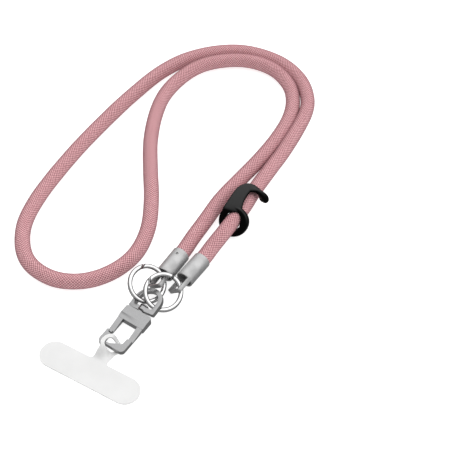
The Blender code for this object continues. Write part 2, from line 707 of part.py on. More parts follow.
def tab_outline():
    end_r, half = TAB_HEIGHT / 2, TAB_LENGTH / 2
    neck, loop_r, lean = TAB_NECK / 2, TAB_LOOP_D / 2, TAB_LOOP_SIDE
    pts = []
    for d in np.linspace(-90, 90, 15):
        a = math.radians(d)
        pts.append((half - end_r + end_r * math.cos(a), end_r * math.sin(a)))
    pts += arc(lean / 2 + neck + TAB_FILLET, end_r + TAB_FILLET, TAB_FILLET, 180)[::-1]
    start = -math.degrees(math.acos(neck / loop_r))
    for d in np.linspace(start, 180 - start, 29):
        a = math.radians(d)
        pts.append((lean + loop_r * math.cos(a), TAB_LOOP_REACH + loop_r * math.sin(a)))
    pts += arc(lean / 2 - neck - TAB_FILLET, end_r + TAB_FILLET, TAB_FILLET, -90)[::-1]
    for d in np.linspace(90, 270, 15):
        a = math.radians(d)
        pts.append((end_r - half + end_r * math.cos(a), end_r * math.sin(a)))
    return pts


def make_tab(mat):
    up = unit(TAB_UP[0], TAB_UP[1], 0)
    right = unit(TAB_UP[1], -TAB_UP[0], 0)
    base = frame(right, up, at(TAB_AT[0], TAB_AT[1], 0))
    us, vs = tab_lines()
    nu, nv = len(us), len(vs)
    bpy.ops.mesh.primitive_grid_add(x_subdivisions=nu - 1, y_subdivisions=nv - 1, size=2.0)
    tab = bpy.context.active_object
    tab.name = "phone_tab"
    for vert in tab.data.vertices:
        i = round((vert.co.x + 1) / 2 * (nu - 1))
        j = round((vert.co.y + 1) / 2 * (nv - 1))
        u, v = us[i], vs[j]
        vert.co = (u * MM, v * MM, tab_height(u, v) * MM)
    tab.matrix_world = base
    tab.select_set(False)
    move_to(tab, PARTS)
    solid = tab.modifiers.new("thickness", "SOLIDIFY")
    solid.thickness = TAB_THICK * MM
    solid.offset = 0.0
    hole_r = TAB_LOOP_HOLE / 2
    hole = [(TAB_LOOP_SIDE + hole_r * math.cos(a), TAB_LOOP_REACH + hole_r * math.sin(a))
            for a in np.linspace(0, 2 * math.pi, 24, endpoint=False)]
    shape = plate("tab_shape", [tab_outline(), hole], 30.0, base)
    combine(tab, shape, "INTERSECT")
    return paint(tab, mat)


# ---- all together -------------------------------------------------------------------------
def main():
    for ob in list(bpy.data.objects):
        bpy.data.objects.remove(ob)
    collection(PARTS)
    collection(CUTTERS)
    rope_mat = material("rope_braid", (0.60, 0.30, 0.32), 0.85, 0.0)
    cap_mat = material("cap_metal", (0.62, 0.62, 0.62), 0.32, 1.0)
    ring_mat = material("ring_metal", (0.86, 0.86, 0.86), 0.12, 1.0)
    gate_mat = material("ring_gate_metal", (0.84, 0.84, 0.84), 0.14, 1.0)
    cast_mat = material("hook_metal", (0.55, 0.55, 0.56), 0.28, 1.0)
    hook_gate_mat = material("hook_gate_metal", (0.58, 0.58, 0.59), 0.26, 1.0)
    eye_mat = material("eye_metal", (0.57, 0.57, 0.58), 0.26, 1.0)
    pin_mat = material("pin_metal", (0.50, 0.50, 0.51), 0.30, 1.0)
    slider_mat = material("slider_rubber", (0.022, 0.023, 0.024), 0.55, 0.0)
    tab_mat = material("tab_plastic", (0.86, 0.86, 0.85), 0.60, 0.0)
    make_rope(rope_mat)
    make_cap("cap_1", CAP_1_END, CAP_1_RUN, BAIL_1_TURN, cap_mat)
    make_cap("cap_2", CAP_2_END, CAP_2_RUN, BAIL_2_TURN, cap_mat)
    make_ring("ring_1", RING_1_AT, RING_1_FACE, RING_1_HINGE, (ring_mat, gate_mat))
    make_ring("ring_2", RING_2_AT, RING_2_FACE, RING_2_HINGE, (ring_mat, gate_mat))
    make_swivel_eye(eye_mat)
    make_pin(pin_mat)
    make_hook(cast_mat)
    make_hook_gate(hook_gate_mat)
    make_slider(slider_mat)
    make_tab(tab_mat)


main()
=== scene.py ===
import math

import bpy
import numpy as np
from mathutils import Matrix, Vector


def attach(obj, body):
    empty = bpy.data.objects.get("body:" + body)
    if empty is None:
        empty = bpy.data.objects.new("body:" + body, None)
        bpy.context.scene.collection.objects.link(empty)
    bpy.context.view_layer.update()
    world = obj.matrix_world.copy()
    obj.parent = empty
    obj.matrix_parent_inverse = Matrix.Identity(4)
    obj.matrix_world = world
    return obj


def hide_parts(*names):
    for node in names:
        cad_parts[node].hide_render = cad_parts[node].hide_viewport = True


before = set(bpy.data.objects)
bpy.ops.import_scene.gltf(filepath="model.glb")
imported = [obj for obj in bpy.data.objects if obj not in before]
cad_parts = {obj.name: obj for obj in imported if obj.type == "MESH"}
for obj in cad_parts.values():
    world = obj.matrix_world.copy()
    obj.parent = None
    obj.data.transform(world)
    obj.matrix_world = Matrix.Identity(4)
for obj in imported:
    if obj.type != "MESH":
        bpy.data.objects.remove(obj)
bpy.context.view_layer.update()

# ---- places and sizes, in metres, as in the part; the rope's yarn stands 0.1 mm proud ------
TABLE = Vector((0.044745, 0.052490, 0.0))       # middle of the picture on the surface
ROPE_R, ROPE_SIDES, ROPE_STEP = 0.0051, 64, 0.0008
ROPE_RIBS, RIB_RISE, STITCH = 17, 0.00012, 0.0018       # stitches round the rope; one's length
ROPE_UNEVEN, ROPE_KNOTS, ROPE_CLEAR = 0.008, 90, 0.00002       # uneven thickness, as a share
CAP_R, CAP_L, CAP_WALL, CAP_LIFT = 0.00585, 0.0196, 0.001, 0.0059
CAP_BORE, CAP_EDGE = 0.0062, 0.0003
CAP_LIP = ((0.0014, 0.0), (0.0014, 0.00525), (0.0003, 0.00527), (0.0, 0.0054),
           (0.0, 0.00562), (0.00012, 0.00576))          # along the cap, and the radius
BAIL_REACH, BAIL_WIDTH = 0.0105, 0.0028
BAIL_ROOT, BAIL_BEND, BAIL_INNER_BEND = 0.0015, 0.0012, 0.0006
BAIL_FIT, BAIL_INNER_FIT = 0.00003, 0.00002
RING_R, WIRE_R, GATE_SPAN, GATE_STEPS, GATE_SKIP = 0.0112, 0.0015, 80.0, 48, 0.0004
GAP = 0.0003                                            # between pieces that meet
RING_SEAM, SEAM_SHADE = 0.00048, 0.0006                 # the joints' gap, and the width of the painted shade beside it
# name, end of the bail, way along the cap and turn of the bail
CAPS = (("cap_1", (-0.04707, -0.05019), (-10.7, -17.3), 0.734),
        ("cap_2", (-0.034852, -0.053884), (-12.9, -18.6), 0.760))
CRIMP_AT, CRIMP_R, CRIMP_SINK = 0.0046, 0.0010, 0.0003        # the dot on cap 1
# name, middle, way that the ring faces and degrees to its hinge
RINGS = (("ring_1", (-0.05184, -0.050107, 0.00836), (0.44, -0.547, 1.0), 38.0),
         ("ring_2", (-0.041664, -0.0557, 0.007377), (0.209, -0.579, 1.0), 66.0))
HOOK_ZERO = Vector((-0.0454, -0.0485, 0.0))
HOOK_A = Vector((-0.5549, -0.8319, 0.0)).normalized()
HOOK_V = Vector((-HOOK_A.y, HOOK_A.x, 0.0))
HOOK_LIFT = 0.003446
UP = Vector((0.0, 0.0, 1.0))

# the eye and the hook: s runs down the hook and c across it
EYE_S, EYE_C, EYE_TILT, EYE_ROLL = 0.0213, 0.00255, 0.122, 0.20
EYE_W, EYE_H, EYE_THICK = 0.01935, 0.0173, 0.0031
EYE_BASE, EYE_SIDE, EYE_TOP, EYE_CORNER = 0.0030, 0.0029, 0.0025, 0.0010
PIN_R, PIN_HEAD_R, PIN_HEAD_T, PIN_DOME = 0.00125, 0.0031, 0.0014, 0.0007
BOSS_WALL, BOSS_EDGE, PAST = 0.0013, 0.0003, 0.001      # PAST: how far a cutter runs past
HOOK_W, HOOK_L, HOOK_T, HOOK_ARM, HOOK_BAR = 0.0183, 0.0203, 0.0032, 0.0037, 0.0046
HEAD_W, HEAD_L, HEAD_T = 0.0188, 0.0098, 0.0052
HEAD_SLOPE, SLOPE_AT = 13.0, 0.38                      # degrees, and a share of the head
COLLAR_R, COLLAR_L, COLLAR_EDGE, COLLAR_SINK = 0.0024, 0.0010, 0.0003, 0.0005
GATE_L, GATE_OVER, GATE_INSET = 0.0110, 0.0010, 0.0004
GRIPS, GRIP_R, GRIP_AT, GRIP_STEP, GRIP_OUT = 5, 0.0004, 0.0022, 0.0012, 0.00035
HEAD_S0 = EYE_S + 2 * GAP + COLLAR_L
HEAD_S1 = HEAD_S0 + HEAD_L
FRAME_END = HEAD_S1 + HOOK_L
HOOK_SIDE = 0.0003                                      # the hook's middle beside the eye's
MIDDLE_C = EYE_C + HOOK_SIDE
FRAME_C0, FRAME_C1 = MIDDLE_C - HOOK_W / 2, MIDDLE_C + HOOK_W / 2
OPEN_S1 = FRAME_END - HOOK_BAR
OPEN_C0, OPEN_C1 = FRAME_C0 + HOOK_ARM, FRAME_C1 - HOOK_ARM
GATE_S = FRAME_END + GATE_OVER - GATE_L
# shares of the arm's width; of the gate's length and the arm's width; of the bar and opening
SEAM = ((0.0, 0.0), (0.1, 0.3), (0.5, 0.5), (0.57, 1.0))
GATE_EDGE = ((0.15, -0.07), (0.70, -0.09), (0.86, 0.06), (0.96, 0.35), (1.0, 0.72),
             (0.90, 0.86), (0.75, 1.0))
NOSE = ((0.17, 0.70), (0.62, 0.38), (0.74, 0.13), (0.78, 0.0))

SLIDER_AT = (0.0031, 0.0005, 0.00925)
SLIDER_THICK, SLIDER_BORE, SLIDER_LEAN = 0.0030, 0.0116, 43.0
SLIDER_CHEEK, SLIDER_CROWN, SLIDER_FOOT, SLIDER_SIDE = 0.0046, 0.0032, 0.0053, -0.0003
SLIDER_EYE_L, TABLE_GAP = 0.0046, 0.0003
BAND_W, BAND_SPAN, BAND_REACH, BAND_RISE = 0.0105, 0.0216, 0.0240, 0.0162
BAND_SIDES, BAND_SQUARE, SLIDER_VOXEL = 40, (0.55, 0.75), 0.0003   # how square its section is

TAB_AT, TAB_UP = (-0.084, -0.1098, 0.0), Vector((0.497, 0.868, 0.0)).normalized()
TAB_L, TAB_H, TAB_T = 0.0693, 0.0182, 0.0009
LOOP_R, LOOP_HOLE_R, LOOP_REACH, LOOP_LEAN = 0.00615, 0.00375, 0.0212, 0.0017
NECK, FILLET = 0.0095, 0.0024
TAB_OVER, TAB_TURN = 0.0004, 0.0016                   # room over the hook; width of the twist

ROUTE = [      # the rope's middle line, as in the part
    (-0.0253, -0.0130, 0.0056), (-0.0158, 0.0044, 0.0051), (-0.0064, 0.0218, 0.00505),
    (0.0065, 0.0397, 0.00505), (0.0202, 0.0581, 0.00505), (0.0322, 0.0771, 0.00505),
    (0.0417, 0.0970, 0.00505), (0.0454, 0.1130, 0.00505), (0.0435, 0.1315, 0.0051),
    (0.0323, 0.1485, 0.0056), (0.0134, 0.1571, 0.0064), (-0.0060, 0.1569, 0.0065),
    (-0.0223, 0.1518, 0.0060), (-0.0361, 0.1401, 0.0053), (-0.0473, 0.1227, 0.00505),
    (-0.0528, 0.1040, 0.00505), (-0.0556, 0.0767, 0.00505), (-0.0544, 0.0483, 0.00505),
    (-0.0526, 0.0214, 0.00505), (-0.0539, -0.0040, 0.00505), (-0.0615, -0.0251, 0.00505),
    (-0.0760, -0.0392, 0.00505), (-0.0937, -0.0457, 0.00505), (-0.1129, -0.0432, 0.00505),
    (-0.1299, -0.0289, 0.00505), (-0.1355, -0.0046, 0.00505), (-0.1304, 0.0192, 0.00505),
    (-0.1097, 0.0623, 0.00505), (-0.0836, 0.1042, 0.00505), (-0.0688, 0.1249, 0.00505),
    (-0.0518, 0.1455, 0.00505), (-0.0337, 0.1596, 0.00505), (-0.0150, 0.1670, 0.00505),
    (0.0038, 0.1692, 0.00505), (0.0200, 0.1660, 0.00505), (0.0399, 0.1542, 0.00505),
    (0.0520, 0.1373, 0.00505), (0.0561, 0.1196, 0.00505), (0.0548, 0.1059, 0.00505),
    (0.0379, 0.0676, 0.00505), (0.0271, 0.0488, 0.0051), (0.0162, 0.0287, 0.0064),
    (0.0090, 0.0121, 0.00905), (-0.0031, -0.0077, 0.0089), (-0.0130, -0.0213, 0.0060)]

BAND = (   # shares of span, reach, rise, width and thickness; then the way the outer face looks
    (-0.108, 0.117, 0.728, 1.28, 1.00, (0.00, -0.50, 1.00)),
    (-0.080, 0.150, 0.889, 1.22, 1.00, (0.00, -0.30, 1.00)),
    (-0.041, 0.247, 0.963, 1.14, 1.00, (0.00, -0.10, 1.00)),
    (0.015, 0.372, 1.000, 1.03, 1.00, (0.00, 0.00, 1.00)),
    (0.083, 0.525, 1.012, 0.94, 1.00, (0.00, 0.00, 1.00)),
    (0.163, 0.677, 1.012, 0.91, 1.00, (0.00, 0.00, 1.00)),
    (0.266, 0.830, 1.000, 0.88, 1.00, (0.00, 0.00, 1.00)),
    (0.398, 0.934, 0.975, 0.76, 1.00, (0.00, 0.00, 1.00)),
    (0.545, 0.944, 0.944, 0.65, 1.00, (0.10, 0.10, 1.00)),
    (0.685, 0.909, 0.883, 0.59, 1.10, (0.35, 0.45, 0.80)),
    (0.805, 0.848, 0.778, 0.63, 1.35, (0.55, 0.65, 0.45)),
    (0.888, 0.792, 0.642, 0.65, 1.60, (0.60, 0.70, 0.10)),
    (0.916, 0.762, 0.519, 0.59, 1.60, (0.60, 0.70, 0.00)),
    (0.911, 0.744, 0.444, 0.42, 1.10, (0.60, 0.70, 0.00)))

METALS = {   # colour, roughness, depth of the dents and darkness of the painted shade at the silhouette
    "cap_metal": ((0.54, 0.54, 0.54), 0.55, 0.00002, 0.0),
    "ring_metal": ((0.84, 0.84, 0.84), 0.12, 0.00001, 0.92),
    "ring_gate_metal": ((0.82, 0.82, 0.82), 0.14, 0.00001, 0.92),
    "eye_metal": ((0.36, 0.36, 0.363), 0.24, 0.00009, 0.0),
    "pin_metal": ((0.35, 0.35, 0.353), 0.30, 0.00002, 0.0),
    "hook_metal": ((0.345, 0.345, 0.348), 0.25, 0.00009, 0.0),
    "hook_gate_metal": ((0.345, 0.345, 0.348), 0.25, 0.00008, 0.0)}

FLOOR_HALF, FLOOR_GREY, FLOOR_GLOW = 3.0, 0.55, 0.76
SKY_WAY, SKY_STRENGTH = (0.4, 0.4, 1.0), 1.45          # the way in which the sky grows brighter
SKY = ((0.0, (0.24, 0.24, 0.24)), (0.22, (0.085, 0.085, 0.087)), (0.75, (1.0, 1.0, 1.0)))
LIGHT_TARGET = (0.0, 0.05, 0.0)
LIGHTS = (("key", (-0.35, 0.30, 1.1), (0.9, 0.7), 3.0),        # name, place, size and watts
          ("fill", (0.7, -0.25, 0.9), (0.7, 0.7), 1.2))
LENS, SENSOR, CAMERA_BACK, CAMERA_UP, CAMERA_TILT = 86.09, 36.0, 0.4572, 0.5646, 39.0


# ---- shape helpers ------------------------------------------------------------------------
def at(x, y, z=0.0):
    """A place measured from the middle of the picture."""
    return Vector((x, y, z)) + TABLE


def axes(x_dir, y_dir, origin):
    """Matrix whose first axis is x_dir and whose second lies toward y_dir."""
    x = Vector(x_dir).normalized()
    z = x.cross(Vector(y_dir)).normalized()
    m = Matrix((x, z.cross(x), z)).transposed().to_4x4()
    m.translation = origin
    return m


def hook_at(s, c, z):
    """A place s down the hook, c across it and z above the surface."""
    p = HOOK_ZERO + HOOK_A * s + HOOK_V * c + TABLE
    p.z = z
    return p


HOOK_M = axes(HOOK_A, HOOK_V, hook_at(0.0, 0.0, HOOK_LIFT))


def catmull(points, step):
    """Evenly spaced places on a centripetal curve through the points."""
    p = np.array(points, float)
    pad = np.vstack([2 * p[0] - p[1], p, 2 * p[-1] - p[-2]])
    fine = []
    for i in range(1, len(pad) - 2):
        a, b, c, d = pad[i - 1:i + 3]
        ka = max(np.linalg.norm(b - a), 1e-9) ** 0.5
        kb = max(np.linalg.norm(c - b), 1e-9) ** 0.5
        kc = max(np.linalg.norm(d - c), 1e-9) ** 0.5
        m1 = (b - a) / ka - (c - a) / (ka + kb) + (c - b) / kb
        m2 = (c - b) / kb - (d - b) / (kb + kc) + (d - c) / kc
        for t in np.linspace(0, 1, 40, endpoint=False):
            fine.append((2 * t ** 3 - 3 * t ** 2 + 1) * b + (t ** 3 - 2 * t ** 2 + t) * m1 * kb
                        + (-2 * t ** 3 + 3 * t ** 2) * c + (t ** 3 - t ** 2) * m2 * kb)
    fine = np.array(fine + [p[-1]])
    run = np.r_[0.0, np.cumsum(np.linalg.norm(np.diff(fine, axis=0), axis=1))]
    marks = np.linspace(0, run[-1], max(2, int(round(run[-1] / step)) + 1))
    return np.stack([np.interp(marks, run, fine[:, k]) for k in range(3)], 1)


def smooth_line(p, passes):
    """Even out a line's bends, with its ends kept."""
    p = p.copy()
    for _ in range(passes):
        p[1:-1] = 0.5 * p[1:-1] + 0.25 * (p[:-2] + p[2:])
    return p


def carried_frames(p, first):
    """Directions beside a line that turn with it and don't spin."""
    t = np.gradient(p, axis=0)
    t /= np.linalg.norm(t, axis=1)[:, None]
    side = np.zeros_like(p)
    s = np.array(first, float)
    for i in range(len(p)):
        s = s - t[i] * (s @ t[i])
        s /= np.linalg.norm(s)
        side[i] = s
    return side, np.cross(t, side)


def mesh_object(name, verts, faces, uvs=None, smooth=True):
    mesh = bpy.data.meshes.new(name)
    mesh.from_pydata([tuple(v) for v in verts], [], [tuple(f) for f in faces])
    if uvs is not None:
        layer = mesh.uv_layers.new(name="UVMap")
        layer.data.foreach_set("uv", np.asarray(uvs, np.float32).ravel())
    mesh.polygons.foreach_set("use_smooth", [smooth] * len(mesh.polygons))
    mesh.update()
    ob = bpy.data.objects.new(name, mesh)
    bpy.context.scene.collection.objects.link(ob)
    return ob


def grid_faces(rows, cols, wrap_rows=False, wrap_cols=True):
    """Quads of a grid of points, closed round its rows or columns where asked."""
    i = np.arange(rows if wrap_rows else rows - 1)[:, None]
    j = np.arange(cols if wrap_cols else cols - 1)[None, :]
    i2, j2 = (i + 1) % rows, (j + 1) % cols
    f = np.stack([i * cols + j, i * cols + j2, i2 * cols + j2, i2 * cols + j], -1)
    return f.reshape(-1, 4)


def lathe(name, profile, sides, matrix):
    """Turn a profile of (along, radius) round the matrix's first axis."""
    prof = np.array(profile, float)
    a = np.linspace(0, 2 * math.pi, sides, endpoint=False)
    v = np.stack([np.repeat(prof[:, 0], sides), np.outer(prof[:, 1], np.cos(a)).ravel(),
                  np.outer(prof[:, 1], np.sin(a)).ravel()], 1)
    ob = mesh_object(name, v, grid_faces(len(prof), sides)[:, ::-1])
    ob.matrix_world = matrix
    return ob


def clean(ob):
    """Weld the doubled points and face outward."""
    bpy.ops.object.select_all(action="DESELECT")
    bpy.context.view_layer.objects.active = ob
    ob.select_set(True)
    bpy.ops.object.mode_set(mode="EDIT")
    bpy.ops.mesh.select_all(action="SELECT")
    bpy.ops.mesh.remove_doubles(threshold=1e-6)
    bpy.ops.mesh.normals_make_consistent(inside=False)
    bpy.ops.object.mode_set(mode="OBJECT")
    ob.select_set(False)
    return ob


def bake(ob):
    """Turn an object with its modifiers into a plain mesh object."""
    bpy.context.view_layer.update()
    graph = bpy.context.evaluated_depsgraph_get()
    mesh = bpy.data.meshes.new_from_object(ob.evaluated_get(graph))
    ob.modifiers.clear()
    if ob.type == "MESH":
        ob.data = mesh
        return ob
    name = ob.name
    made = bpy.data.objects.new(name + "_m", mesh)
    bpy.context.scene.collection.objects.link(made)
    made.matrix_world = ob.matrix_world.copy()
    bpy.data.objects.remove(ob)
    made.name = name
    return made


def plate(name, outlines, thick, matrix, bevel=0.0, steps=3):
    """Flat plate from its outline and its holes, with rounded edges."""
    curve = bpy.data.curves.new(name, "CURVE")
    curve.dimensions = "2D"
    curve.fill_mode = "BOTH"
    curve.extrude = thick / 2
    for outline in outlines:
        line = curve.splines.new("POLY")
        line.points.add(len(outline) - 1)
        for spot, p in zip(line.points, outline):
            spot.co = (p[0], p[1], 0.0, 1.0)
        line.use_cyclic_u = True
    ob = bpy.data.objects.new(name, curve)
    bpy.context.scene.collection.objects.link(ob)
    ob.matrix_world = matrix
    ob = clean(bake(ob))
    if bevel:
        mod = ob.modifiers.new("bevel", "BEVEL")
        mod.width, mod.segments = bevel, steps
        mod.limit_method, mod.angle_limit = "ANGLE", math.radians(35.0)
        ob = bake(ob)
    return ob


def combine(ob, tool, how):
    """Boolean with a tool that is then removed."""
    mod = ob.modifiers.new(how, "BOOLEAN")
    mod.operation, mod.solver, mod.object = how, "EXACT", tool
    bake(ob)
    bpy.data.objects.remove(tool)


def by_angle(ob):
    """Smooth shading that keeps the edges sharper than the angle."""
    bpy.ops.object.select_all(action="DESELECT")
    bpy.context.view_layer.objects.active = ob
    ob.select_set(True)
    bpy.ops.object.shade_smooth_by_angle(angle=math.radians(32.0))
    ob.select_set(False)
    return ob


def finish_piece(ob, body, mat, node):
    """Give the piece its material, body and slot, and hide the part's node that it replaces."""
    ob.data.materials.clear()
    ob.data.materials.append(mat)
    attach(ob, body)
    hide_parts(node)


def arc(x, y, r, start, stop, steps):
    """Points of an arc between two angles in degrees."""
    return [(x + r * math.cos(math.radians(d)), y + r * math.sin(math.radians(d)))
            for d in np.linspace(start, stop, steps)]


# ---- materials ----------------------------------------------------------------------------
class Paint:
    """Small helper for building a node material."""

    def __init__(self, name):
        self.mat = bpy.data.materials.new(name)
        self.mat.use_nodes = True
        self.tree = self.mat.node_tree
        self.shader = self.tree.nodes["Principled BSDF"]

    def node(self, kind, **settings):
        n = self.tree.nodes.new(kind)
        for key, value in settings.items():
            setattr(n, key, value)
        return n

    def feed(self, socket, value):
        if isinstance(value, bpy.types.NodeSocket):
            self.tree.links.new(value, socket)
        else:
            socket.default_value = value

    def math(self, kind, a, b=None):
        n = self.node("ShaderNodeMath", operation=kind)
        self.feed(n.inputs[0], a)
        if b is not None:
            self.feed(n.inputs[1], b)
        return n.outputs[0]

    def noise(self, vector, scale, detail=3.0, rough=0.5):
        n = self.node("ShaderNodeTexNoise")
        self.feed(n.inputs["Vector"], vector)
        n.inputs["Scale"].default_value = scale
        n.inputs["Detail"].default_value = detail
        n.inputs["Roughness"].default_value = rough
        return n.outputs["Fac"]

    def mix(self, factor, a, b):
        n = self.node("ShaderNodeMix", data_type="RGBA")
        self.feed(n.inputs["Factor"], factor)
        self.feed(n.inputs["A"], a if isinstance(a, bpy.types.NodeSocket) else (*a, 1.0))
        self.feed(n.inputs["B"], b if isinstance(b, bpy.types.NodeSocket) else (*b, 1.0))
        return n.outputs["Result"]

    def remap(self, value, a, b, c, d):
        n = self.node("ShaderNodeMapRange")
        self.feed(n.inputs["Value"], value)
        for key, v in zip(("From Min", "From Max", "To Min", "To Max"), (a, b, c, d)):
            n.inputs[key].default_value = v
        return n.outputs["Result"]

    def bump(self, height, distance, strength=1.0):
        n = self.node("ShaderNodeBump")
        n.inputs["Distance"].default_value = distance
        n.inputs["Strength"].default_value = strength
        self.feed(n.inputs["Height"], height)
        return n.outputs["Normal"]

    def place(self, kind="Object"):
        return self.node("ShaderNodeTexCoord").outputs[kind]

    def set(self, **values):
        for key, value in values.items():
            self.feed(self.shader.inputs[key.replace("_", " ")], value)
        return self.mat


def stitch_rows(m, rows, turns, how):
    """One of the two families of stitches that cross on the braid."""
    wave = m.math("SINE", m.math("MULTIPLY", m.math(how, rows, turns), math.pi))
    return m.math("ABSOLUTE", wave)


def rope_material():
    """Diamond stitches with painted shade between them, fuzz, pale and dark yarns, and painted
    shade at the silhouette.
    """
    m = Paint("rope_braid")
    part = m.node("ShaderNodeSeparateXYZ")
    m.feed(part.inputs[0], m.place("UV"))             # turns round the rope, metres along it
    turns = m.math("MULTIPLY", part.outputs[0], float(ROPE_RIBS))
    rows = m.math("MULTIPLY", part.outputs[1], 1.0 / STITCH)
    crossed = m.math("MULTIPLY", stitch_rows(m, rows, turns, "ADD"),
                     stitch_rows(m, rows, turns, "SUBTRACT"))
    height = m.math("POWER", crossed, 0.6)
    place = m.place()
    fuzz = m.noise(place, 2600.0, 2.0, 0.6)
    height = m.math("ADD", m.math("MULTIPLY", height, 0.75), m.math("MULTIPLY", fuzz, 0.25))
    broad = m.noise(place, 90.0, 3.0)
    # painted shade: the low places between the stitches are coloured dark, the raised yarn pale
    col = m.mix(m.remap(height, 0.22, 0.72, 0.0, 1.0), (0.13, 0.035, 0.045), (0.72, 0.39, 0.41))
    col = m.mix(m.remap(broad, 0.35, 0.65, 0.0, 0.2), col, (0.50, 0.23, 0.255))
    speck = m.noise(place, 1300.0, 1.0, 0.5)
    col = m.mix(m.remap(speck, 0.52, 0.75, 0.0, 0.30), col, (0.85, 0.58, 0.59))
    col = m.mix(m.remap(speck, 0.46, 0.28, 0.0, 0.28), col, (0.22, 0.07, 0.085))
    # painted shade: the colour darkens where the rope turns away from view, toward its silhouette
    facing = m.node("ShaderNodeLayerWeight").outputs["Facing"]
    col = m.mix(m.remap(facing, 0.35, 0.85, 0.0, 0.8), col, (0.20, 0.07, 0.085))
    return m.set(Base_Color=col, Roughness=0.88, Specular_IOR_Level=0.25,
                 Sheen_Weight=0.06, Sheen_Roughness=0.5,
                 Normal=m.bump(height, 0.00030, 0.9))


def metal_material(name, colour, rough, dents, painted_rim_shade):
    """Plated metal with faint waves and scratches, painted shade at the silhouette and painted
    shade beside the joints.
    """
    m = Paint(name)
    place = m.place()
    wide = m.noise(place, 160.0, 2.0)
    fine = m.noise(place, 1400.0, 4.0, 0.6)
    height = m.math("ADD", m.math("MULTIPLY", wide, 0.8), m.math("MULTIPLY", fine, 0.2))
    shade = m.mix(m.remap(fine, 0.3, 0.7, 0.0, 1.0), [c * 0.93 for c in colour], colour)
    # painted shade: the colour darkens toward the silhouette, where the metal turns away from view
    facing = m.node("ShaderNodeLayerWeight").outputs["Facing"]
    shade = m.mix(m.remap(facing, 0.16, 0.5, 0.0, painted_rim_shade), shade, [c * 0.12 for c in colour])
    # painted shade: metal marked as beside a joint is coloured dark, as the shade in the gap
    seam = m.node("ShaderNodeAttribute", attribute_name="seam").outputs["Fac"]
    shade = m.mix(seam, shade, [c * 0.08 for c in colour])
    spread = m.remap(wide, 0.3, 0.7, rough * 0.8, rough * 1.25)
    return m.set(Base_Color=shade, Metallic=1.0, Roughness=spread,
                 Normal=m.bump(height, dents, 1.0))


def rubber_material():
    """Black rubber, painted darker where it faces down, with a painted sheen where it faces up."""
    m = Paint("slider_rubber")
    place = m.place()
    fine = m.noise(place, 2600.0, 3.0, 0.6)
    broad = m.noise(place, 140.0, 2.0)
    # painted light: how far the surface faces up sets a lighter colour and stronger sheen; darker
    # and duller where it faces down
    way = m.node("ShaderNodeSeparateXYZ")
    m.feed(way.inputs[0], m.node("ShaderNodeNewGeometry").outputs["Normal"])
    faces_up_painted_light = m.remap(way.outputs[2], 0.68, 0.98, 0.0, 1.0)
    col = m.mix(m.remap(broad, 0.3, 0.7, 0.0, 1.0), (0.0034, 0.0036, 0.0037),
                (0.0048, 0.005, 0.0052))
    col = m.mix(faces_up_painted_light, (0.0006, 0.0006, 0.0006), col)
    return m.set(Base_Color=col, Roughness=m.remap(fine, 0.3, 0.7, 0.36, 0.50),
                 Specular_IOR_Level=m.remap(faces_up_painted_light, 0.0, 1.0, 0.06, 0.32),
                 Normal=m.bump(fine, 0.00004, 0.8))


def tab_material():
    """Near-white matte sheet."""
    m = Paint("tab_plastic")
    place = m.place()
    fine = m.noise(place, 1800.0, 3.0, 0.6)
    broad = m.noise(place, 60.0, 2.0)
    col = m.mix(m.remap(broad, 0.3, 0.7, 0.0, 1.0), (0.64, 0.64, 0.637), (0.68, 0.68, 0.677))
    return m.set(Base_Color=col, Roughness=m.remap(fine, 0.3, 0.7, 0.45, 0.62),
                 Normal=m.bump(fine, 0.00003, 0.8))


# ---- rope ---------------------------------------------------------------------------------
def cap_mouth(bail_at, run):
    """Middle of the cap's mouth, and its way along the cap to the bail."""
    along = Vector((run[0], run[1], 0)).normalized()
    return Vector((bail_at[0], bail_at[1], CAP_LIFT)) - along * (CAP_L + BAIL_REACH), along


def rope_path():
    """Middle line of the rope, from inside one cap to inside the other."""
    ends = []
    for _, bail_at, run, _ in CAPS:
        mouth, along = cap_mouth(bail_at, run)
        ends.append([tuple(mouth - along * d) for d in (-0.001, 0.004)])
    route = [ends[0][0], ends[0][1], *ROUTE, ends[1][1], ends[1][0]]
    return smooth_line(catmull([at(*p) for p in route], ROPE_STEP), 30)


def make_rope(path):
    run = np.r_[0.0, np.cumsum(np.linalg.norm(np.diff(path, axis=0), axis=1))]
    side, up = carried_frames(path, UP)
    n = ROPE_SIDES
    a = np.linspace(0, 2 * math.pi, n, endpoint=False)
    rng = np.random.default_rng(5)
    knots = np.linspace(0, run[-1], ROPE_KNOTS)
    soft = np.interp(run, knots, rng.normal(0, ROPE_UNEVEN, ROPE_KNOTS))
    ribs = RIB_RISE * (np.abs(np.cos(a * ROPE_RIBS / 2)) ** 0.8 - 0.5)
    rad = ROPE_R * (1 + soft[:, None]) + ribs[None, :]
    v = path[:, None] + rad[..., None] * (np.cos(a)[None, :, None] * side[:, None]
                                          + np.sin(a)[None, :, None] * up[:, None])
    v[..., 2] = np.maximum(v[..., 2], ROPE_CLEAR)
    m = len(path)
    faces = grid_faces(m, n)[:, ::-1]
    fi = np.repeat(np.arange(m - 1), n)
    fj = np.tile(np.arange(n), m - 1)
    u0, u1 = fj / n, (fj + 1) / n
    v0, v1 = run[fi], run[fi + 1]
    uv = np.stack([np.stack([u0, v0], 1), np.stack([u1, v0], 1), np.stack([u1, v1], 1),
                   np.stack([u0, v1], 1)], 1)[:, ::-1]
    ob = mesh_object("rope_braid_piece", v.reshape(-1, 3), faces, uv.reshape(-1, 2))
    finish_piece(ob, "strap", rope_material(), "rope")


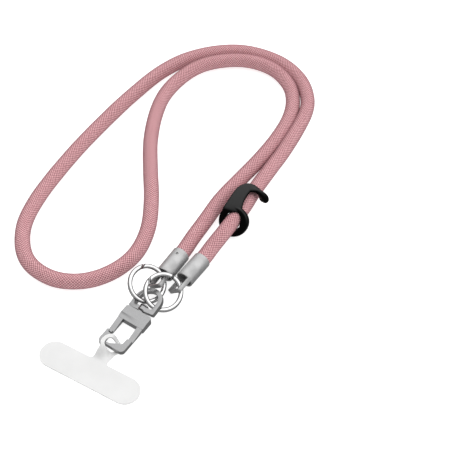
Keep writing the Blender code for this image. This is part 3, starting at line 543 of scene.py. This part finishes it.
# ---- caps and bails -----------------------------------------------------------------------
def bail_outline():
    """U of the bent strip, seen from its edge."""
    far, near = CAP_L + BAIL_REACH + CAP_WALL / 2, CAP_L - BAIL_ROOT
    o, i = CAP_R - BAIL_FIT, CAP_R - CAP_WALL + BAIL_INNER_FIT
    bend, inner, third, deep = BAIL_BEND, BAIL_INNER_BEND, BAIL_INNER_BEND / 3, far - CAP_WALL
    turn = [math.degrees(k) for k in (0.2, 1.37)]
    return ([(near, -o), (far - bend, -o)]
            + arc(far - bend, bend - o, bend, turn[0] - 90, turn[1] - 90, 4)
            + [(far, bend - o), (far, o - bend)]
            + arc(far - bend, o - bend, bend, turn[0], turn[1], 4)
            + [(far - bend, o), (near, o), (near, i), (deep - inner, i), (deep - third, i - third),
               (deep, i - inner), (deep, inner - i), (deep - third, third - i),
               (deep - inner, -i), (near, -i)])


def make_caps(mat):
    r, inner = CAP_R, CAP_R - CAP_WALL
    profile = [*CAP_LIP, (0.00035, r), (0.0042, r), (CAP_L * 0.9, r), (CAP_L - CAP_EDGE, r),
               (CAP_L - CAP_EDGE / 3, r - CAP_EDGE / 3), (CAP_L, r - CAP_EDGE),
               (CAP_L, inner + 0.0002), (CAP_L - CAP_EDGE, inner), (CAP_L - CAP_BORE, inner),
               (CAP_L - CAP_BORE, 0.0)]
    for name, bail_at, run, turn in CAPS:
        mouth, along = cap_mouth(bail_at, run)
        base = axes(along, (-run[1], run[0], 0), at(*mouth))
        cap = clean(lathe(name + "_piece", profile, 96, base))
        bail = plate(name + "_bail", [bail_outline()], BAIL_WIDTH,
                     base @ Matrix.Rotation(turn, 4, "X"), bevel=0.0002, steps=2)
        combine(cap, bail, "UNION")
        if name == "cap_1":
            ball = [(-CRIMP_R * math.cos(k), CRIMP_R * math.sin(k))
                    for k in np.linspace(0, math.pi, 9)]
            spot = base @ Matrix.Translation((CRIMP_AT, 0, r - CRIMP_SINK))
            combine(cap, clean(lathe("crimp", ball, 20, spot)), "DIFFERENCE")
        by_angle(cap)
        finish_piece(cap, "strap", mat, name)


# ---- rings --------------------------------------------------------------------------------
def gate_sector(name, matrix, hinge, spread, start):
    """Half disc round the gate's hinge, as far as its tip; spread and start add the gap."""
    a = math.radians(hinge)
    out = Vector((math.cos(a), math.sin(a)))
    along = Vector((-math.sin(a), math.cos(a)))
    pivot = out * (RING_R - WIRE_R)
    b = a + math.radians(GATE_SPAN)
    reach = (Vector((math.cos(b), math.sin(b))) * RING_R - pivot).length + spread
    first = pivot + along * start
    outline = [tuple(first + out * reach)]
    for k in range(GATE_STEPS + 1):
        t = math.radians(90.0 - 180.0 * k / GATE_STEPS)
        spot = pivot + out * math.sin(t) * reach + along * math.cos(t) * reach
        if (spot - first).dot(along) > GATE_SKIP:
            outline.append(tuple(spot))
    outline.append(tuple(first - out * reach))
    return plate(name, [outline], WIRE_R * 4, matrix)


def torus(name, matrix):
    """A ring's whole wire, before its joints are cut."""
    sides, round_sides = 160, 32
    a = np.linspace(0, 2 * math.pi, sides, endpoint=False)
    b = np.linspace(0, 2 * math.pi, round_sides, endpoint=False)
    rad = np.tile(RING_R + WIRE_R * np.cos(b), (sides, 1))
    v = np.stack([np.cos(a)[:, None] * rad, np.sin(a)[:, None] * rad,
                  np.tile(WIRE_R * np.sin(b), (sides, 1))], -1).reshape(-1, 3)
    ob = mesh_object(name, v, grid_faces(sides, round_sides, wrap_rows=True))
    ob.matrix_world = matrix
    return clean(ob)


def paint_seam_shade(ob, matrix):
    """Mark the cut faces of a ring, so that its metal gets painted shade beside the joints."""
    local = matrix.inverted() @ ob.matrix_world
    spots = np.array([v.co for v in ob.data.vertices])
    cut = set()
    for face in ob.data.polygons:     # only a cut face has its middle well inside the wire
        c = local @ face.center
        if math.hypot(math.hypot(c.x, c.y) - RING_R, c.z) < 0.8 * WIRE_R:
            cut.update(face.vertices)
    edge = spots[sorted(cut)]
    far = np.linalg.norm(spots[:, None] - edge[None], axis=2).min(1)
    marks = (far < SEAM_SHADE).astype(np.float32)
    ob.data.attributes.new("seam", "FLOAT", "POINT").data.foreach_set("value", marks)


def make_rings(mats):
    for name, centre, face, hinge in RINGS:
        n = Vector(face).normalized()
        right = Vector((0, 1, 0)).cross(n).normalized()
        base = axes(right, n.cross(right), at(*centre))
        ring = torus(name + "_piece", base)
        room = gate_sector(name + "_room", base, hinge, RING_SEAM, -RING_SEAM)
        combine(ring, room, "DIFFERENCE")
        gate = torus(name + "_gate_piece", base)
        combine(gate, gate_sector(name + "_share", base, hinge, 0.0, 0.0), "INTERSECT")
        for ob, body, slot, node in (
                (ring, "strap", "ring_metal", name),
                (gate, name.replace("ring_", "ring_gate_"), "ring_gate_metal", name + "_gate")):
            paint_seam_shade(ob, base)
            finish_piece(by_angle(ob), body, mats[slot], node)


# ---- eye, pin and hook --------------------------------------------------------------------
def eye_outline(width, low, high, corner):
    """D with its straight side at low and its round side at high."""
    r = width / 2
    return (arc(r - corner, low + corner, corner, -90, 0, 7) + arc(0, high - r, r, 0, 180, 61)
            + arc(corner - r, low + corner, corner, 180, 270, 7))


def make_eye(mat):
    side = HOOK_V * math.cos(EYE_ROLL) + UP * math.sin(EYE_ROLL)
    rise = -HOOK_A * math.cos(EYE_TILT) + side.cross(-HOOK_A) * math.sin(EYE_TILT)
    base = axes(side, rise, hook_at(EYE_S, EYE_C, HOOK_LIFT))
    eye = plate("swivel_eye_piece", [
        eye_outline(EYE_W, 0.0, EYE_H, EYE_CORNER),
        eye_outline(EYE_W - 2 * EYE_SIDE, EYE_BASE, EYE_H - EYE_TOP, EYE_CORNER)],
        EYE_THICK, base, bevel=0.0008, steps=4)
    x = HOOK_M @ Matrix.Translation((0, EYE_C, 0))
    s0, s1, hole_r = EYE_S - EYE_BASE, EYE_S, PIN_R + GAP
    boss_r, e = hole_r + BOSS_WALL, BOSS_EDGE
    boss = clean(lathe("boss", [(s0, 0.0), (s0, boss_r - e), (s0 + e, boss_r), (s1 - e, boss_r),
                                (s1, boss_r - e), (s1, 0.0)], 64, x))
    combine(eye, boss, "UNION")
    hole = clean(lathe("hole", [(s0 - PAST, 0.0), (s0 - PAST, hole_r), (s1 + PAST, hole_r),
                                (s1 + PAST, 0.0)], 40, x))
    combine(eye, hole, "DIFFERENCE")
    finish_piece(by_angle(eye), "strap", mat, "swivel_eye")


def make_pin(mat):
    """Rivet with a low domed head inside the eye."""
    s1 = EYE_S - EYE_BASE - GAP
    s0 = s1 - PIN_HEAD_T
    dome = [(s0 + PIN_DOME * (1 - math.cos(k)), (PIN_HEAD_R - 0.0001) * math.sin(k))
            for k in np.linspace(0, math.pi / 2, 12)]
    prof = dome + [(s1 - 0.00015, PIN_HEAD_R), (s1, PIN_HEAD_R - 0.0002), (s1, PIN_R),
                   (EYE_S + GAP, PIN_R), (EYE_S + GAP, 0.0)]
    pin = clean(lathe("swivel_pin_piece", prof, 64, HOOK_M @ Matrix.Translation((0, EYE_C, 0))))
    finish_piece(by_angle(pin), "hook", mat, "swivel_pin")


def seam(shift):
    """Joint between the left arm and the gate."""
    return [(GATE_S + shift + a * HOOK_ARM, FRAME_C0 + b * HOOK_ARM) for a, b in SEAM]


def frame_outline():
    """Left arm down to the gate, then the other arm with the bar and its nose."""
    corner, inner, start = HOOK_BAR * 0.56, HOOK_BAR * 0.4, HEAD_S1 - HEAD_L * 0.15
    pts = [(start, FRAME_C0)] + seam(-2 * GAP)
    pts += [(HEAD_S1 - GAP, OPEN_C0), (HEAD_S1 - GAP, OPEN_C1)]
    pts += arc(OPEN_S1 - inner, OPEN_C1 - inner, inner, 90, 0, 10)
    pts += [(OPEN_S1 + a * HOOK_BAR, OPEN_C0 + b * (OPEN_C1 - OPEN_C0)) for a, b in NOSE]
    pts += [(FRAME_END, OPEN_C0)]
    return pts + arc(FRAME_END - corner, FRAME_C1 - corner, corner, 0, 90, 12) \
        + [(start, FRAME_C1)]


def head_outline():
    """Block with large corners toward the eye and small ones toward the frame."""
    big, small, half = HEAD_L * 0.17, HEAD_L * 0.06, HEAD_W / 2
    lo, hi = MIDDLE_C - half, MIDDLE_C + half
    return (arc(HEAD_S1 - small, lo + small, small, -90, 0, 5)
            + arc(HEAD_S1 - small, hi - small, small, 0, 90, 5)
            + arc(HEAD_S0 + big, hi - big, big, 90, 180, 9)
            + arc(HEAD_S0 + big, lo + big, big, 180, 270, 9))


def make_hook(mats):
    body = plate("hook_body_piece", [frame_outline()], HOOK_T, HOOK_M, bevel=0.0006, steps=4)
    head = plate("head", [head_outline()], HEAD_T, HOOK_M, bevel=0.0011, steps=5)
    combine(body, head, "UNION")
    # the head's upper face slopes down to the frame, cut by the wedge's underside
    slope = HOOK_M @ Matrix.Translation((HEAD_S1 - HEAD_L * SLOPE_AT, MIDDLE_C, HEAD_T / 2)) \
        @ Matrix.Rotation(math.radians(HEAD_SLOPE), 4, "Y") \
        @ Matrix.Translation((0.005, 0, 0.002))
    wedge = plate("wedge", [[(-0.005, -0.015), (0.009, -0.015), (0.009, 0.015), (-0.005, 0.015)]],
                  0.004, slope)
    combine(body, wedge, "DIFFERENCE")
    s0, s1, e = HEAD_S0 - COLLAR_L, HEAD_S0 + COLLAR_SINK, COLLAR_EDGE
    collar = lathe("collar", [(s0, 0.0), (s0, COLLAR_R - e), (s0 + e, COLLAR_R),
                              (s1, COLLAR_R), (s1, 0.0)], 48,
                   HOOK_M @ Matrix.Translation((0, EYE_C, 0)))
    combine(body, clean(collar), "UNION")
    finish_piece(by_angle(body), "hook", mats["hook_metal"], "hook_body")
    edge = [(GATE_S + a * GATE_L, FRAME_C0 + b * HOOK_ARM) for a, b in GATE_EDGE]
    gate = plate("hook_gate_piece", [seam(0.0) + edge[::-1]], HOOK_T - GATE_INSET, HOOK_M,
                 bevel=0.0005, steps=4)
    for k in range(GRIPS):
        spot = HOOK_M @ Matrix.Translation((GATE_S + GRIP_AT + GRIP_STEP * k,
                                            FRAME_C0 - GRIP_OUT, 0))
        groove = lathe("groove", [(-0.004, 0.0), (-0.004, GRIP_R), (0.004, GRIP_R), (0.004, 0.0)],
                       16, spot @ Matrix.Rotation(math.pi / 2, 4, "Y"))
        combine(gate, clean(groove), "DIFFERENCE")
    finish_piece(by_angle(gate), "hook_gate", mats["hook_gate_metal"],
                 "hook_gate")


# ---- slider -------------------------------------------------------------------------------
def slider_band():
    """Rounded strip lofted through the band's sections."""
    places = np.array([(SLIDER_AT[0] + x * BAND_SPAN, SLIDER_AT[1] + y * BAND_REACH,
                        z * BAND_RISE) for x, y, z, _, _, _ in BAND])
    looks = np.array([row[5] for row in BAND], float)
    widths = np.array([row[3] for row in BAND]) * BAND_W
    thick = np.array([row[4] for row in BAND]) * SLIDER_THICK
    idx = np.arange(len(BAND))
    line = catmull([at(*p) for p in places], 0.0005)
    run = np.r_[0, np.cumsum(np.linalg.norm(np.diff(places, axis=0), axis=1))]
    k = np.interp(np.linspace(0, run[-1], len(line)), run, idx)
    look = np.stack([np.interp(k, idx, looks[:, j]) for j in range(3)], 1)
    wide, deep = np.interp(k, idx, widths), np.interp(k, idx, thick)
    t = np.gradient(line, axis=0)
    t /= np.linalg.norm(t, axis=1)[:, None]
    look -= t * (look * t).sum(1)[:, None]
    look /= np.linalg.norm(look, axis=1)[:, None]
    across = np.cross(t, look)
    n = BAND_SIDES
    a = np.linspace(0, 2 * math.pi, n, endpoint=False)
    cx = np.sign(np.cos(a)) * np.abs(np.cos(a)) ** BAND_SQUARE[0]
    sy = np.sign(np.sin(a)) * np.abs(np.sin(a)) ** BAND_SQUARE[1]
    v = line[:, None] + across[:, None] * (cx[None, :, None] * wide[:, None, None] / 2) \
        + look[:, None] * (sy[None, :, None] * deep[:, None, None] / 2)
    m = len(line)
    verts = np.vstack([v.reshape(-1, 3), line[0], line[-1]])
    faces = [tuple(f) for f in grid_faces(m, n)]
    faces += [(m * n, (j + 1) % n, j) for j in range(n)]
    faces += [(m * n + 1, (m - 1) * n + j, (m - 1) * n + (j + 1) % n) for j in range(n)]
    return clean(mesh_object("band", verts, faces))


def slider_eye(matrix):
    """Oval disc with rounded rims, before the rope's bore."""
    half, soft, r, n = SLIDER_EYE_L / 2, SLIDER_EYE_L * 0.2, SLIDER_BORE / 2, 96
    verts = []
    for inset, z in ((soft, -half), (soft * 0.3, soft * 0.3 - half), (0, soft - half),
                     (0, half - soft), (soft * 0.3, half - soft * 0.3), (soft, half)):
        for a in np.linspace(0, 2 * math.pi, n, endpoint=False):
            tall = r + (SLIDER_CROWN if math.sin(a) > 0 else SLIDER_FOOT)
            verts.append((SLIDER_SIDE + (r + SLIDER_CHEEK - inset) * math.cos(a),
                          (tall - inset) * math.sin(a), z))
    faces = [tuple(f) for f in grid_faces(6, n)] + [tuple(range(n)), tuple(range(5 * n, 6 * n))]
    eye = mesh_object("slider_piece", verts, faces)
    eye.matrix_world = matrix
    return clean(eye)


def make_slider(mat, path):
    """Eye that leans back on the rope; its bore follows the rope."""
    near = int(np.argmin(np.linalg.norm(path - np.array(at(*SLIDER_AT)), axis=1)))
    along = Vector(path[near - 3] - path[near + 3]).normalized()
    left = Vector((-along.y, along.x, 0)).normalized()
    lean = math.radians(SLIDER_LEAN)
    axis = along * math.cos(lean) - UP * math.sin(lean)
    eye = slider_eye(axes(left, axis.cross(left), Vector(path[near])))
    combine(eye, slider_band(), "UNION")
    reach = (SLIDER_EYE_L + SLIDER_BORE * math.sin(lean)) / 2 / math.cos(lean) + PAST
    r = SLIDER_BORE / 2
    bore = lathe("bore", [(-reach, 0.0), (-reach, r), (reach, r), (reach, 0.0)], 64,
                 axes(along, left, Vector(path[near])))
    combine(eye, clean(bore), "DIFFERENCE")
    foot = plate("foot", [[(-0.03, -0.03), (0.03, -0.03), (0.03, 0.03), (-0.03, 0.03)]], 0.02,
                 Matrix.Translation((path[near][0], path[near][1], TABLE_GAP - 0.01)))
    combine(eye, foot, "DIFFERENCE")
    mod = eye.modifiers.new("remesh", "REMESH")
    mod.mode, mod.voxel_size, mod.use_smooth_shade = "VOXEL", SLIDER_VOXEL, True
    mod = eye.modifiers.new("smooth", "SMOOTH")
    mod.factor, mod.iterations = 0.5, 8
    bake(eye)
    eye.data.polygons.foreach_set("use_smooth", [True] * len(eye.data.polygons))
    finish_piece(eye, "strap", mat, "slider")


# ---- soft tab -----------------------------------------------------------------------------
def step(x):
    """Soft step from 0 to 1."""
    x = min(1.0, max(0.0, x))
    return x * x * (3 - 2 * x)


def tab_height(u, v):
    """The loop climbs over the hook on its left and goes under it on its right."""
    flat, start = TAB_T / 2, TAB_H / 2
    high, low = HOOK_LIFT + HOOK_T / 2 + TAB_OVER + flat, flat + 0.0001
    spread = LOOP_HOLE_R * 0.6
    climb = step((v - start) / (LOOP_REACH - spread - start))
    left, right = flat + (high - flat) * climb, flat + (low - flat) * climb
    wide = spread + TAB_TURN * (1 - climb)
    return left + (right - left) * step((u - LOOP_LEAN + wide) / (2 * wide))


def make_tab(mat):
    end_r, half, neck = TAB_H / 2, TAB_L / 2, NECK / 2
    start = -math.degrees(math.acos(neck / LOOP_R))
    outline = arc(half - end_r, 0, end_r, -90, 90, 41)
    outline += arc(LOOP_LEAN / 2 + neck + FILLET, end_r + FILLET, FILLET, 270, 180, 12)
    outline += arc(LOOP_LEAN, LOOP_REACH, LOOP_R, start, 180 - start, 73)
    outline += arc(LOOP_LEAN / 2 - neck - FILLET, end_r + FILLET, FILLET, 0, -90, 12)
    outline += arc(end_r - half, 0, end_r, 90, 270, 41)
    hole = arc(LOOP_LEAN, LOOP_REACH, LOOP_HOLE_R, 0, 360, 61)[:-1]
    base = axes((TAB_UP.y, -TAB_UP.x, 0), TAB_UP, at(*TAB_AT))
    wide, tall, reach = half + PAST, end_r + PAST, LOOP_R + PAST
    us = np.linspace(LOOP_LEAN - reach, LOOP_LEAN + reach, 41)
    us = np.r_[np.linspace(-wide, us[0], 10)[:-1], us, np.linspace(us[-1], wide, 10)[1:]]
    vs = np.linspace(end_r - PAST, LOOP_REACH + reach, 50)
    vs = np.r_[np.linspace(-tall, vs[0], 6)[:-1], vs]
    v = [(a, b, tab_height(a, b)) for b in vs for a in us]
    tab = mesh_object("phone_tab_piece", v, grid_faces(len(vs), len(us), wrap_cols=False))
    tab.matrix_world = base
    solid = tab.modifiers.new("thick", "SOLIDIFY")
    solid.thickness, solid.offset = TAB_T, 0.0
    bake(tab)
    clean(tab)
    combine(tab, plate("tab_shape", [outline, hole], 0.03, base), "INTERSECT")
    finish_piece(by_angle(tab), "hook", mat, "phone_tab")


# ---- floor, light and camera --------------------------------------------------------------
def make_stage():
    h, grey = FLOOR_HALF, FLOOR_GREY
    floor = mesh_object("floor", [(-h, -h, 0), (h, -h, 0), (h, h, 0), (-h, h, 0)],
                        [(0, 1, 2, 3)], smooth=False)
    m = Paint("floor_paper")
    floor.data.materials.append(m.set(Base_Color=(grey, grey, grey, 1.0), Roughness=0.9,
                                      Specular_IOR_Level=0.0, Emission_Strength=FLOOR_GLOW,
                                      Emission_Color=(1.0, 1.0, 1.0, 1.0)))
    floor.visible_glossy = False


def area(name, place, size, power):
    """Area light that looks at the target."""
    data = bpy.data.lights.new(name, "AREA")
    data.shape, data.size, data.size_y = "RECTANGLE", size[0], size[1]
    data.energy = power
    ob = bpy.data.objects.new(name, data)
    bpy.context.scene.collection.objects.link(ob)
    ob.location = place
    way = Vector(LIGHT_TARGET) - Vector(place)
    ob.rotation_euler = way.to_track_quat("-Z", "Y").to_euler()
    ob.visible_glossy = False


def make_light():
    world = bpy.data.worlds.new("studio")
    bpy.context.scene.world = world
    world.use_nodes = True
    tree = world.node_tree
    back = tree.nodes["Background"]
    coord = tree.nodes.new("ShaderNodeTexCoord")
    slope = tree.nodes.new("ShaderNodeVectorMath")
    ramp = tree.nodes.new("ShaderNodeValToRGB")
    slope.operation = "DOT_PRODUCT"
    slope.inputs[1].default_value = SKY_WAY
    tree.links.new(coord.outputs["Generated"], slope.inputs[0])
    tree.links.new(slope.outputs["Value"], ramp.inputs[0])
    tree.links.new(ramp.outputs[0], back.inputs[0])
    stops = ramp.color_ramp.elements
    stops.remove(stops[1])
    for position, colour in SKY[1:]:
        stops.new(position).color = (*colour, 1)
    stops[0].color = (*SKY[0][1], 1)
    back.inputs[1].default_value = SKY_STRENGTH
    for light in LIGHTS:
        area(*light)


def make_camera():
    data = bpy.data.cameras.new("camera")
    data.lens, data.sensor_width = LENS, SENSOR
    data.clip_start, data.clip_end = 0.01, 20.0
    ob = bpy.data.objects.new("camera", data)
    bpy.context.scene.collection.objects.link(ob)
    ob.location = (TABLE.x, TABLE.y - CAMERA_BACK, CAMERA_UP)
    ob.rotation_euler = (math.radians(CAMERA_TILT), 0.0, 0.0)
    bpy.context.scene.camera = ob


def main():
    mats = {slot: metal_material(slot, *look) for slot, look in METALS.items()}
    path = rope_path()
    make_rope(path)
    make_caps(mats["cap_metal"])
    make_rings(mats)
    make_eye(mats["eye_metal"])
    make_pin(mats["pin_metal"])
    make_hook(mats)
    make_slider(rubber_material(), path)
    make_tab(tab_material())
    make_stage()
    make_light()
    make_camera()
    bpy.context.scene.view_settings.view_transform = "Standard"


main()
